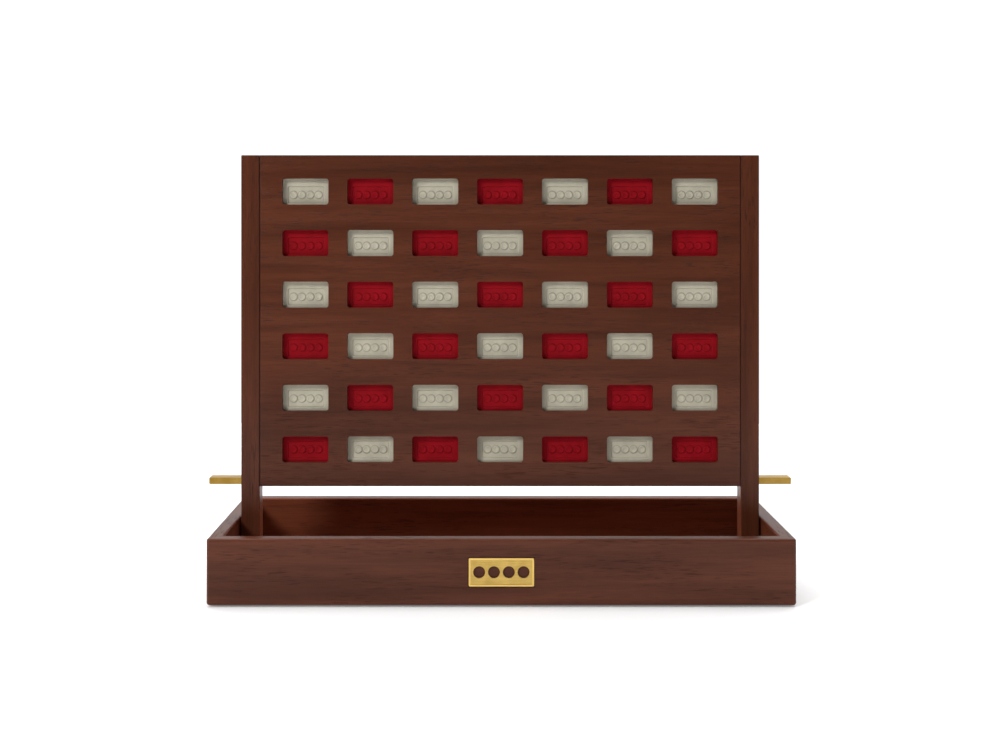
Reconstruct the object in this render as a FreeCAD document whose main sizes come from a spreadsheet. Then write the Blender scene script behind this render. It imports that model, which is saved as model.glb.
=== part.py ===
"""Four in a row frame: a wooden tray, two posts with a windowed panel, forty-two tiles and a sliding release bar.

Millimetres. +X runs along the tray to the right, +Y to the back and +Z up.
The origin is on the table, under the middle of the object.
"""
import FreeCAD, Part
import os
import re
import Sketcher

# Driving dimensions. Heights named "above the tray" start at the underside of the tray's walls.
SIZES = {
    # tray
    "tray_length": 355.0,
    "tray_depth": 130.0,
    "tray_tall": 40.0,
    "wall_thick": 9.0,
    "wall_ease": 1.4,
    "tray_corner": 2.0,
    "floor_thick": 6.0,
    "floor_rise": 2.0,
    "floor_tongue": 4.0,
    "floor_play": 0.3,
    "foot_thick": 1.0,
    "foot_long": 26.0,
    "foot_wide": 6.0,
    "foot_inset": 14.0,
    # posts
    "post_wide": 12.0,
    "post_gap": 1.3,
    "post_housing": 1.5,
    "post_ease": 0.7,
    # windowed panels, the channel between them, its dividers and its side spacers
    "panel_thick": 3.0,
    "panel_bottom": 60.2,
    "margin_low": 15.4,
    "margin_high": 15.1,
    "channel_deep": 6.4,
    "column_count": 7,
    "row_count": 6,
    "row_extra": 0.3,
    "window_wide": 29.7,
    "window_tall": 16.8,
    "window_corner": 1.8,
    "divider_wide": 2.4,
    "spacer_wide": 9.75,
    # release bar
    "bar_lip": 1.1,
    "bar_tall": 4.3,
    "bar_corner": 0.6,
    "bar_play": 0.15,
    "rail_thick": 1.2,
    "rest_rise": 1.3,
    "rest_play": 0.2,
    "divider_gap": 0.3,
    "stop_wide": 6.0,
    "stop_reach": 0.8,
    # tiles
    "tile_play": 1.9,
    "tile_tall": 33.0,
    "tile_thick": 5.4,
    "tile_corner": 1.2,
    "tile_ease": 0.3,
    "sunk_wide": 23.4,
    "sunk_tall": 11.0,
    "sunk_deep": 0.6,
    "sunk_corner": 1.0,
    "dot_across": 4.8,
    "dot_pitch": 5.4,
    "dot_count": 4,
    "dot_sink": 0.1,
    # name plate
    "plate_wide": 39.3,
    "plate_tall": 17.0,
    "plate_thick": 1.5,
    "plate_corner": 0.8,
    "plate_play": 0.5,
    "plate_rim": 1.1,
    "plate_field": 0.35,
    "hole_across": 7.2,
    "hole_pitch": 8.9,
    "hole_count": 4,
    "pin_across": 2.0,
    "pin_long": 3.0,
    "pin_pitch": 36.2,
    "pin_play": 0.05,
    # dowels and screws
    "dowel_across": 4.0,
    "dowel_long": 16.0,
    "dowel_play": 0.05,
    "dowel_gap": 0.5,
    "dowel_count": 3,
    "dowel_margin": 22.0,
    "screw_across": 3.5,
    "screw_long": 20.0,
    "screw_tip": 3.0,
    "screw_play": 0.05,
    "head_across": 7.0,
    "head_tall": 2.0,
    "head_play": 0.2,
    "slot_wide": 1.0,
    "slot_deep": 0.9,
}

# Sizes, heights and positions that several pieces share, worked out from the cells above.
SHARED = {
    "floor_top": "foot_thick + floor_rise + floor_thick",
    "post_foot": "floor_top - post_housing",
    "panel_wide": "tray_length - 2 * (wall_thick + post_gap + post_wide)",
    "column_pitch": "(panel_wide - 2 * spacer_wide + divider_wide) / column_count",
    "channel_wide": "column_pitch - divider_wide",
    "row_pitch": "tile_tall + row_extra",
    "frame_low": "foot_thick + panel_bottom",
    "window_low": "frame_low + margin_low + window_tall / 2",
    "frame_top": "window_low + (row_count - 1) * row_pitch + window_tall / 2 + margin_high",
    "frame_deep": "channel_deep + 2 * panel_thick",
    "panel_middle": "channel_deep / 2 + panel_thick / 2",
    "post_middle": "panel_wide / 2 + post_wide / 2",
    "bar_low": "frame_low + bar_lip",
    "bar_middle": "bar_low + bar_tall / 2",
    "bar_deep": "channel_deep + 2 * rail_thick",
    "bar_long": "panel_wide + 2 * post_wide + column_pitch",
    "rest_top": "bar_low + bar_tall + rest_rise",
    "divider_low": "rest_top + divider_gap",
    "first_divider": "column_pitch * (2 - column_count) / 2",
    "first_column": "column_pitch * (1 - column_count) / 2",
    "first_opening": "column_pitch * column_count / -2",
    "tile_wide": "channel_wide - tile_play",
    "dowel_start": "panel_wide / 2 - dowel_long / 2",
    "dowel_hole": "dowel_across + 2 * dowel_play",
    "dowel_low": "divider_low + dowel_margin",
    "dowel_pitch": "(frame_top - dowel_margin - dowel_low) / (dowel_count - 1)",
    "plate_middle": "foot_thick + tray_tall / 2",
}

BACK = 180
RIGHT = 90
LEFT = -90
FRONT = 0

doc = FreeCAD.newDocument("four_in_a_row")
sheet = doc.addObject("Spreadsheet::Sheet", "dims")


def formula(text):
    """The expression with each of the sheet's aliases written as dims.alias."""

    def named(match):
        word = match.group(0)
        return "dims." + word if word in SIZES or word in SHARED else word

    return re.sub(r"[a-z_]+", named, text)


def fill_sheet():
    """Write each driving dimension, and each shared value worked out from them, beside its alias."""
    for row, (alias, value) in enumerate({**SIZES, **SHARED}.items(), start=1):
        cell = f"B{row}"
        sheet.set(f"A{row}", alias)
        if alias in SIZES:
            sheet.set(cell, str(value))
        else:
            sheet.set(cell, "=" + re.sub(r"dims\.", "", formula(value)))
        sheet.setAlias(cell, alias)
    doc.recompute()


def bind(item, name, text):
    """Bind one property to a formula in the sheet's aliases."""
    item.setExpression(name, formula(text))


def body_named(label):
    """An empty PartDesign body."""
    body = doc.addObject("PartDesign::Body", label)
    body.Label = label
    return body


def origin_item(body, role):
    """A plane or an axis of the body's own origin."""
    return next(item for item in body.Origin.OriginFeatures if item.Role == role)


def sketch_at(body, plane, at):
    """A sketch parallel to an origin plane, whose own middle is at the point at in the body's frame."""
    sketch = body.newObject("Sketcher::SketchObject", "outline")
    sketch.AttachmentSupport = [(origin_item(body, plane), "")]
    sketch.MapMode = "FlatFace"
    along_x, along_y, along_z = at
    offsets = {
        "XY_Plane": (along_x, along_y, along_z),
        "XZ_Plane": (along_x, along_z, f"-({along_y})"),
        "YZ_Plane": (along_y, along_z, along_x),
    }[plane]
    for axis, text in zip("xyz", offsets):
        bind(sketch, f"AttachmentOffset.Base.{axis}", text)
    return sketch


def join_ends(sketch, count):
    """Close a chain of edges, each starting where the one before ends."""
    for edge in range(count):
        sketch.addConstraint(Sketcher.Constraint("Coincident", edge, 2, (edge + 1) % count, 1))


def size_between(sketch, kind, first, second, text):
    """A length between two points of the sketch, bound to a formula."""
    index = sketch.addConstraint(Sketcher.Constraint(kind, *first, *second, 10.0))
    bind(sketch, f"Constraints[{index}]", text)


def draw_rectangle(sketch, wide, tall):
    """A rectangle about the sketch's middle."""
    corners = [FreeCAD.Vector(x, y, 0) for x, y in ((-5, -5), (5, -5), (5, 5), (-5, 5))]
    for start, end in zip(corners, corners[1:] + corners[:1]):
        sketch.addGeometry(Part.LineSegment(start, end), False)
    join_ends(sketch, 4)
    for edge, way in enumerate(("Horizontal", "Vertical", "Horizontal", "Vertical")):
        sketch.addConstraint(Sketcher.Constraint(way, edge))
    sketch.addConstraint(Sketcher.Constraint("Symmetric", 0, 1, 2, 1, -1, 1))
    size_between(sketch, "DistanceX", (0, 1), (0, 2), wide)
    size_between(sketch, "DistanceY", (1, 1), (1, 2), tall)


def draw_rounded(sketch, wide, tall, corner):
    """A rectangle about the sketch's middle with round corners: four lines and four quarter circles."""
    half, radius = 5.0, 1.0
    turns = (
        ((-1, -1), (1, -1), -90),
        ((1, -1), (1, 1), 0),
        ((1, 1), (-1, 1), 90),
        ((-1, 1), (-1, -1), 180),
    )
    inner = half - radius
    for (x1, y1), (x2, y2), start in turns:
        out_x, out_y = (0, y1 * radius) if y1 == y2 else (x1 * radius, 0)
        first = FreeCAD.Vector(x1 * inner + out_x, y1 * inner + out_y, 0)
        last = FreeCAD.Vector(x2 * inner + out_x, y2 * inner + out_y, 0)
        sketch.addGeometry(Part.LineSegment(first, last), False)
        circle = Part.Circle(FreeCAD.Vector(x2 * inner, y2 * inner, 0), FreeCAD.Vector(0, 0, 1), radius)
        from_angle = FreeCAD.Units.Quantity(f"{start} deg").getValueAs("rad").Value
        to_angle = FreeCAD.Units.Quantity(f"{start + 90} deg").getValueAs("rad").Value
        sketch.addGeometry(Part.ArcOfCircle(circle, from_angle, to_angle), False)
    for line in (0, 2, 4, 6):
        sketch.addConstraint(Sketcher.Constraint("Tangent", line, 2, line + 1, 1))
        sketch.addConstraint(Sketcher.Constraint("Tangent", line + 1, 2, (line + 2) % 8, 1))
    for line, way in ((0, "Horizontal"), (2, "Vertical"), (4, "Horizontal"), (6, "Vertical")):
        sketch.addConstraint(Sketcher.Constraint(way, line))
    for arc in (3, 5, 7):
        sketch.addConstraint(Sketcher.Constraint("Equal", 1, arc))
    sketch.addConstraint(Sketcher.Constraint("Symmetric", 1, 3, 5, 3, -1, 1))
    index = sketch.addConstraint(Sketcher.Constraint("Radius", 1, radius))
    bind(sketch, f"Constraints[{index}]", corner)
    size_between(sketch, "DistanceX", (6, 1), (2, 1), wide)
    size_between(sketch, "DistanceY", (0, 1), (4, 1), tall)


def draw_wall(sketch, length):
    """A wall from above: a long outer side, an eighth of a circle at each corner, and ends cut at 45 degrees."""
    outer = 48.0
    reach = 2.0 * 0.5**0.5
    points = [(-outer, 0), (outer, 0), (outer + reach, 2 - reach), (41, 9), (-41, 9), (-outer - reach, 2 - reach)]
    corners = [FreeCAD.Vector(x, y, 0) for x, y in points]
    up = FreeCAD.Vector(0, 0, 1)
    right = Part.Circle(FreeCAD.Vector(outer, 2, 0), up, 2.0)
    left = Part.Circle(FreeCAD.Vector(-outer, 2, 0), up, 2.0)
    eighth = FreeCAD.Units.Quantity("45 deg").getValueAs("rad").Value
    sketch.addGeometry(Part.LineSegment(corners[0], corners[1]), False)
    sketch.addGeometry(Part.ArcOfCircle(right, -2 * eighth, -eighth), False)
    for first, last in ((2, 3), (3, 4), (4, 5)):
        sketch.addGeometry(Part.LineSegment(corners[first], corners[last]), False)
    sketch.addGeometry(Part.ArcOfCircle(left, -3 * eighth, -2 * eighth), False)
    sketch.addConstraint(Sketcher.Constraint("Tangent", 0, 2, 1, 1))
    for edge in range(1, 5):
        sketch.addConstraint(Sketcher.Constraint("Coincident", edge, 2, edge + 1, 1))
    sketch.addConstraint(Sketcher.Constraint("Tangent", 5, 2, 0, 1))
    sketch.addConstraint(Sketcher.Constraint("PointOnObject", 0, 1, -1))
    sketch.addConstraint(Sketcher.Constraint("Horizontal", 0))
    sketch.addConstraint(Sketcher.Constraint("Symmetric", 3, 1, 3, 2, -2))
    sketch.addConstraint(Sketcher.Constraint("Angle", 2, 3 * eighth))
    sketch.addConstraint(Sketcher.Constraint("Angle", 4, -3 * eighth))
    run = "tray_corner * sqrt(0.5)"
    for first, last, centre, end in (((1, 3), (1, 2), (1, 3), (1, 2)), ((5, 1), (5, 3), (5, 3), (5, 1))):
        size_between(sketch, "DistanceX", first, last, run)
        size_between(sketch, "DistanceY", end, centre, run)
    size_between(sketch, "DistanceX", (3, 2), (3, 1), f"{length} - 2 * wall_thick")
    size_between(sketch, "DistanceY", (0, 1), (3, 2), "wall_thick")


def draw_circle(sketch, across):
    """A circle about the sketch's middle."""
    circle = Part.Circle(FreeCAD.Vector(0, 0, 0), FreeCAD.Vector(0, 0, 1), 2.0)
    sketch.addGeometry(circle, False)
    sketch.addConstraint(Sketcher.Constraint("Coincident", 0, 3, -1, 1))
    index = sketch.addConstraint(Sketcher.Constraint("Diameter", 0, 4.0))
    bind(sketch, f"Constraints[{index}]", across)


def extrude(body, sketch, length, cut):
    """A pad, or a pocket where cut is true, half of it on each side of its sketch."""
    feature = body.newObject("PartDesign::Pocket" if cut else "PartDesign::Pad", "step")
    feature.Profile = sketch
    feature.SideType = "Symmetric"
    bind(feature, "Length", length)
    body.Tip = feature
    return feature


def block(body, plane, wide, tall, length, at=("0", "0", "0"), corner=None, cut=False):
    """A rectangular pad or pocket, wide by tall in its plane, with its middle at the point at."""
    sketch = sketch_at(body, plane, at)
    if corner:
        draw_rounded(sketch, wide, tall, corner)
    else:
        draw_rectangle(sketch, wide, tall)
    return extrude(body, sketch, length, cut)


def cylinder(body, plane, across, length, at, cut=False):
    """A round pad or pocket square to its plane, with its middle at the point at."""
    sketch = sketch_at(body, plane, at)
    draw_circle(sketch, across)
    return extrude(body, sketch, length, cut)


def repeat(body, feature, axis, span, count):
    """The feature again and again along one of the body's axes, the last one span away."""
    pattern = body.newObject("PartDesign::LinearPattern", "row")
    pattern.Originals = [feature]
    pattern.Direction = (origin_item(body, axis), [""])
    bind(pattern, "Length", span)
    bind(pattern, "Occurrences", count)
    body.Tip = pattern
    return pattern


def ease(body, radius, wanted):
    """Round the edges of the body's last feature that wanted picks."""
    doc.recompute()
    base = body.Tip
    names = [f"Edge{n}" for n, edge in enumerate(base.Shape.Edges, start=1) if wanted(edge)]
    rounded = body.newObject("PartDesign::Fillet", "eased")
    rounded.Base = (base, names)
    bind(rounded, "Radius", radius)
    body.Tip = rounded


def runs_along(edge, axis, least):
    """Whether a straight edge lies along the axis and is at least that long."""
    box = edge.BoundBox
    sides = {"x": box.XLength, "y": box.YLength, "z": box.ZLength}
    others = [length for name, length in sides.items() if name != axis]
    return sides[axis] >= least and max(others) < 1e-6


def value(alias):
    """The sheet's value of an alias."""
    return float(sheet.get(alias))


def turn(body, degrees):
    """Turn a body about the vertical."""
    body.Placement = FreeCAD.Placement(FreeCAD.Vector(), FreeCAD.Rotation(FreeCAD.Vector(0, 0, 1), degrees))


def compound(label, pieces):
    """Several separate solids of one kind as one sub-part."""
    group = doc.addObject("Part::Compound", label)
    group.Label = label
    group.Links = pieces
    return group


def box_named(name, length, width, height, at):
    """A Part box with its lowest corner at the point at."""
    item = doc.addObject("Part::Box", name)
    for side, text in (("Length", length), ("Width", width), ("Height", height)):
        bind(item, side, text)
    for axis, text in zip("xyz", at):
        bind(item, f"Placement.Base.{axis}", text)
    return item


def rod_named(name, radius, length, at, axis=(0, 0, 1), kind="Part::Cylinder"):
    """A Part cylinder that starts at the point at and runs along the axis."""
    item = doc.addObject(kind, name)
    bind(item, "Height", length)
    if kind == "Part::Cylinder":
        bind(item, "Radius", radius)
    turned = FreeCAD.Rotation(FreeCAD.Vector(0, 0, 1), FreeCAD.Vector(*axis))
    item.Placement = FreeCAD.Placement(FreeCAD.Vector(), turned)
    for way, text in zip("xyz", at):
        bind(item, f"Placement.Base.{way}", text)
    return item


def tray_wall(label, length, angle, away):
    """A wall with mitred ends and a groove for the floor. Its outer face is the body's own plane y = 0."""
    body = body_named(label)
    sketch = sketch_at(body, "XY_Plane", ("0", "0", "foot_thick + tray_tall / 2"))
    draw_wall(sketch, length)
    extrude(body, sketch, "tray_tall", False)
    half = value("foot_thick") + value("tray_tall") / 2

    def long_rim(edge):
        level = edge.BoundBox.ZLength < 1e-6 and abs(edge.BoundBox.ZMin - half) > 1.0
        mitre = edge.Curve.TypeId == "Part::GeomLine" and edge.BoundBox.YLength > 1e-6
        return level and not mitre

    ease(body, "wall_ease", long_rim)
    groove_at = ("0", "wall_thick - floor_tongue / 2", "foot_thick + floor_rise + floor_thick / 2")
    block(body, "YZ_Plane", "floor_tongue", "floor_thick", length, groove_at, cut=True)
    turn(body, angle)
    way = {FRONT: ("y", "-"), BACK: ("y", ""), RIGHT: ("x", ""), LEFT: ("x", "-")}[angle]
    bind(body, f"Placement.Base.{way[0]}", f"{way[1]}({away})")
    return body


def front_wall():
    """The front wall, with a shallow seat for the name plate and two holes for its pins."""
    body = tray_wall("wall_front", "tray_length", FRONT, "tray_depth / 2")
    wide = "plate_wide + 2 * plate_play"
    tall = "plate_tall + 2 * plate_play"
    corner = "plate_corner + plate_play"
    block(body, "XZ_Plane", wide, tall, "2 * plate_thick", ("0", "0", "plate_middle"), corner, cut=True)
    pin_hole = cylinder(
        body,
        "XZ_Plane",
        "pin_across + 2 * pin_play",
        "2 * (plate_thick + pin_long + 2 * pin_play)",
        ("pin_pitch / -2", "0", "plate_middle"),
        cut=True,
    )
    repeat(body, pin_hole, "X_Axis", "pin_pitch", "2")
    return body


def floor_panel():
    """The tray's floor, let into the walls, with two seats for the posts and two screw holes."""
    body = body_named("floor_panel")
    inward = "2 * (wall_thick - floor_tongue + floor_play)"
    middle = "foot_thick + floor_rise + floor_thick / 2"
    block(
        body,
        "XY_Plane",
        f"tray_length - {inward}",
        f"tray_depth - {inward}",
        "floor_thick",
        ("0", "0", middle),
    )
    span = "2 * post_middle"
    seat_at = ("-post_middle", "0", "floor_top")
    seat = block(body, "XY_Plane", "post_wide", "frame_deep", "2 * post_housing", seat_at, cut=True)
    repeat(body, seat, "X_Axis", span, "2")
    under = ("-post_middle", "0", "foot_thick + floor_rise")
    shank = cylinder(body, "XY_Plane", "screw_across + 4 * screw_play", "3 * floor_thick", under, cut=True)
    repeat(body, shank, "X_Axis", span, "2")
    sunk = cylinder(
        body,
        "XY_Plane",
        "head_across + 2 * head_play",
        "2 * (head_tall + head_play)",
        under,
        cut=True,
    )
    repeat(body, sunk, "X_Axis", span, "2")
    return body


def name_plate():
    """A thin plate: a rim round a lower field, four round holes in a row and two pins at the back."""
    body = body_named("name_plate")
    front = "tray_depth / -2"
    middle = f"{front} + plate_thick / 2"
    block(
        body,
        "XZ_Plane",
        "plate_wide",
        "plate_tall",
        "plate_thick",
        ("0", middle, "plate_middle"),
        "plate_corner",
    )
    block(
        body,
        "XZ_Plane",
        "plate_wide - 2 * plate_rim",
        "plate_tall - 2 * plate_rim",
        "2 * plate_field",
        ("0", front, "plate_middle"),
        cut=True,
    )
    hole = cylinder(
        body,
        "XZ_Plane",
        "hole_across",
        "4 * plate_thick",
        ("hole_pitch * (1 - hole_count) / 2", front, "plate_middle"),
        cut=True,
    )
    repeat(body, hole, "X_Axis", "hole_pitch * (hole_count - 1)", "hole_count")
    pin_at = ("pin_pitch / -2", f"{front} + plate_thick + pin_long / 2 - plate_thick / 4", "plate_middle")
    pin = cylinder(body, "XZ_Plane", "pin_across", "pin_long + plate_thick / 2", pin_at)
    repeat(body, pin, "X_Axis", "pin_pitch", "2")
    return body


def post(label, angle):
    """A square post with a passage for the bar, dowel holes on its inner side and a pilot hole below.

    The body's own +X side is the outer side.
    """
    body = body_named(label)
    tall = "frame_top - post_foot"
    middle = "(frame_top + post_foot) / 2"
    block(body, "XY_Plane", "post_wide", "frame_deep", tall, ("post_middle", "0", middle))
    top = value("frame_top")

    def outer_edge(edge):
        long = runs_along(edge, "z", 50.0)
        high = abs(edge.BoundBox.ZMin - top) < 1e-6
        return long or high

    ease(body, "post_ease", outer_edge)
    deep = "bar_deep + 2 * bar_play"
    high = "bar_tall + 2 * bar_play"
    block(body, "YZ_Plane", deep, high, "2 * post_wide", ("post_middle", "0", "bar_middle"), cut=True)
    hole = cylinder(
        body,
        "YZ_Plane",
        "dowel_hole",
        "dowel_long + 2 * dowel_gap",
        ("panel_wide / 2", "0", "dowel_low"),
        cut=True,
    )
    repeat(body, hole, "Z_Axis", "dowel_pitch * (dowel_count - 1)", "dowel_count")
    pilot_at = ("post_middle", "0", "post_foot")
    cylinder(body, "XY_Plane", "screw_across + 2 * screw_play", "2 * screw_long", pilot_at, cut=True)
    turn(body, angle)
    return body


def windowed_panel(label, angle):
    """A thin panel with a window for each tile, a groove for the bar and a pocket for the bar's stop.

    The body's own -Y side is the outer side.
    """
    body = body_named(label)
    outer = "-(channel_deep / 2 + panel_thick)"
    inner = "channel_deep / -2"
    block(
        body,
        "XZ_Plane",
        "panel_wide",
        "frame_top - frame_low",
        "panel_thick",
        ("0", "-panel_middle", "(frame_top + frame_low) / 2"),
    )
    face = -(value("channel_deep") / 2 + value("panel_thick"))
    ease(body, "post_ease", lambda edge: abs(edge.BoundBox.YMax - face) < 1e-6)
    window = block(
        body,
        "XZ_Plane",
        "window_wide",
        "window_tall",
        "4 * panel_thick",
        ("first_column", outer, "window_low"),
        "window_corner",
        cut=True,
    )
    grid = repeat(body, window, "X_Axis", "column_pitch * (column_count - 1)", "column_count")
    grid.Direction2 = (origin_item(body, "Z_Axis"), [""])
    bind(grid, "Length2", "row_pitch * (row_count - 1)")
    bind(grid, "Occurrences2", "row_count")
    groove = "2 * (rail_thick + bar_play)"
    groove_at = ("0", inner, "bar_middle")
    block(body, "YZ_Plane", groove, "bar_tall + 2 * bar_play", "2 * panel_wide", groove_at, cut=True)
    pocket_at = ("0", inner, "bar_middle")
    block(
        body,
        "XY_Plane",
        "column_pitch + stop_wide",
        "2 * (rail_thick + stop_reach + bar_play)",
        "bar_tall + 2 * bar_play",
        pocket_at,
        cut=True,
    )
    turn(body, angle)
    return body


def dividers():
    """The upright strips between the columns, from just above the bar to the top."""
    pieces = []
    for number in range(int(value("column_count")) - 1):
        left = f"first_divider + {number} * column_pitch - divider_wide / 2"
        low = (left, "channel_deep / -2", "divider_low")
        size = ("divider_wide", "channel_deep", "frame_top - divider_low")
        pieces.append(box_named(f"divider_{number + 1}", *size, low))
    return compound("dividers", pieces)


def side_spacer(label, angle):
    """The strip that closes one side of the channel and takes the dowels. Its own +X side meets the post."""
    body = body_named(label)
    middle = ("(panel_wide - spacer_wide) / 2", "0", "(frame_top + divider_low) / 2")
    block(body, "XY_Plane", "spacer_wide", "channel_deep", "frame_top - divider_low", middle)
    hole = cylinder(
        body,
        "YZ_Plane",
        "dowel_hole",
        "dowel_long + 2 * dowel_gap",
        ("panel_wide / 2", "0", "dowel_low"),
        cut=True,
    )
    repeat(body, hole, "Z_Axis", "dowel_pitch * (dowel_count - 1)", "dowel_count")
    turn(body, angle)
    return body


def post_dowels():
    """The dowels between the posts and the side spacers."""
    pieces = []
    for side, start in (("left", "-(dowel_start + dowel_long)"), ("right", "dowel_start")):
        for number in range(int(value("dowel_count"))):
            at = (start, "0", f"dowel_low + {number} * dowel_pitch")
            name = f"dowel_{side}_{number + 1}"
            pieces.append(rod_named(name, "dowel_across / 2", "dowel_long", at, axis=(1, 0, 0)))
    return compound("post_dowels", pieces)


def post_screw(side, middle):
    """A screw with a flat slotted head, driven up through the floor into a post."""
    low = "foot_thick + floor_rise"
    head = rod_named(f"head_{side}", "head_across / 2", "head_tall", (middle, "0", low))
    shank_at = (middle, "0", f"{low} + head_tall - slot_deep / 2")
    shank_long = "screw_long - screw_tip + slot_deep / 2"
    shank = rod_named(f"shank_{side}", "screw_across / 2", shank_long, shank_at)
    tip_at = (middle, "0", f"{low} + head_tall + screw_long - screw_tip")
    tip = rod_named(f"tip_{side}", "", "screw_tip", tip_at, kind="Part::Cone")
    bind(tip, "Radius1", "screw_across / 2")
    bind(tip, "Radius2", "screw_across / 8")
    whole = doc.addObject("Part::MultiFuse", f"blank_{side}")
    whole.Shapes = [head, shank, tip]
    slot_at = (f"{middle} - head_across", "slot_wide / -2", f"{low} - slot_deep")
    slot = box_named(f"slot_{side}", "2 * head_across", "slot_wide", "2 * slot_deep", slot_at)
    screw = doc.addObject("Part::Cut", f"screw_{side}")
    screw.Base = whole
    screw.Tool = slot
    return screw


def post_screws():
    """One screw for each post."""
    return compound("post_screws", [post_screw("left", "-post_middle"), post_screw("right", "post_middle")])


def foot_pads():
    """Four thin pads under the side walls, near the corners."""
    pieces = []
    inset_x = "(wall_thick - foot_wide) / 2"
    ends = (("left", f"tray_length / -2 + {inset_x}"), ("right", f"tray_length / 2 - {inset_x} - foot_wide"))
    sides = (("front", "tray_depth / -2 + foot_inset"), ("back", "tray_depth / 2 - foot_inset - foot_long"))
    for end, left in ends:
        for side, low in sides:
            name = f"pad_{side}_{end}"
            pieces.append(box_named(name, "foot_wide", "foot_long", "foot_thick", (left, low, "0")))
    return compound("foot_pads", pieces)


def release_bar():
    """A flat bar cut into a ladder: an opening at each divider, and a raised rest under each column.

    Slid by half a column either way, its openings come under the columns and the tiles drop.
    The stop in the middle runs in the panels' pockets and ends the slide.
    """
    body = body_named("release_bar")
    middle = ("0", "0", "bar_middle")
    block(body, "XZ_Plane", "bar_long", "bar_tall", "bar_deep", middle, "bar_corner")
    first = ("first_opening", "0", "bar_middle")
    opening = block(body, "XY_Plane", "channel_wide", "channel_deep", "4 * bar_tall", first, cut=True)
    repeat(body, opening, "X_Axis", "column_pitch * column_count", "column_count + 1")
    rest_at = ("first_column", "0", "(rest_top + bar_middle) / 2")
    rest_deep = "channel_deep - 2 * rest_play"
    rest = block(body, "XY_Plane", "divider_wide", rest_deep, "rest_top - bar_middle", rest_at)
    repeat(body, rest, "X_Axis", "column_pitch * (column_count - 1)", "column_count")
    block(body, "XY_Plane", "stop_wide", "bar_deep + 2 * stop_reach", "bar_tall", middle)
    return body


def tile_blank():
    """The tile that all forty-two repeat, with its middle at the origin.

    Each face has a shallow sunk panel in which four round dots stand in a row.
    """
    body = body_named("tile_blank")
    block(body, "XZ_Plane", "tile_wide", "tile_tall", "tile_thick", corner="tile_corner")
    half = value("tile_thick") / 2

    def rim(edge):
        flat = edge.BoundBox.YLength < 1e-6
        return flat and abs(abs(edge.BoundBox.YMin) - half) < 1e-6

    ease(body, "tile_ease", rim)
    for face in ("tile_thick / 2", "tile_thick / -2"):
        at = ("0", face, "0")
        block(body, "XZ_Plane", "sunk_wide", "sunk_tall", "2 * sunk_deep", at, "sunk_corner", cut=True)
    first = ("dot_pitch * (1 - dot_count) / 2", "0", "0")
    dot = cylinder(body, "XZ_Plane", "dot_across", "tile_thick - 2 * dot_sink", first)
    repeat(body, dot, "X_Axis", "dot_pitch * (dot_count - 1)", "dot_count")
    return body


def tile(blank, column, row):
    """One tile, counted from the left and from the top, standing on those below it."""
    body = body_named(f"tile_c{column}_r{row}")
    copy = doc.addObject("PartDesign::FeatureBase", "copy")
    body.Group = [copy]
    copy.BaseFeature = blank
    body.Tip = copy
    bind(body, "Placement.Base.x", f"first_column + {column - 1} * column_pitch")
    bind(body, "Placement.Base.z", f"rest_top + (row_count - {row} + 0.5) * tile_tall")
    return body


def tiles():
    """A tile in every place of the grid."""
    blank = tile_blank()
    columns = range(1, int(value("column_count")) + 1)
    rows = range(1, int(value("row_count")) + 1)
    return [tile(blank, column, row) for column in columns for row in rows]


def frame_and_tray():
    """Every piece but the tiles."""
    return [
        front_wall(),
        tray_wall("wall_back", "tray_length", BACK, "tray_depth / 2"),
        tray_wall("wall_left", "tray_depth", LEFT, "tray_length / 2"),
        tray_wall("wall_right", "tray_depth", RIGHT, "tray_length / 2"),
        floor_panel(),
        foot_pads(),
        name_plate(),
        post("post_right", FRONT),
        post("post_left", BACK),
        windowed_panel("panel_front", FRONT),
        windowed_panel("panel_back", BACK),
        dividers(),
        side_spacer("spacer_right", FRONT),
        side_spacer("spacer_left", BACK),
        post_dowels(),
        post_screws(),
        release_bar(),
    ]


def check(parts):
    """Stop if any object failed to compute or any sub-part has no sound shape."""
    for item in doc.Objects:
        if "Invalid" in item.State or "Error" in item.State:
            raise RuntimeError(f"{item.Label} was not computed: {item.State}")
    for item in parts:
        if item.Shape.isNull() or not item.Shape.isValid():
            raise RuntimeError(f"{item.Label} has no sound shape")


def export(parts):
    """Write each sub-part to its own file."""
    os.makedirs("parts", exist_ok=True)
    for item in parts:
        item.Shape.exportStep(f"parts/{item.Label}.step")


fill_sheet()
all_parts = frame_and_tray() + tiles()
doc.recompute()
check(all_parts)
export(all_parts)
print(f"{len(all_parts)} sub-parts written")
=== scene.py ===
"""Looks of the four in a row frame: a stained wooden tray, a windowed frame that stands in it, a brass bar
and plate, and forty-two moulded tiles in two colours. Lengths are in metres."""

import logging
import math
from dataclasses import dataclass, field
from enum import Enum

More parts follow.
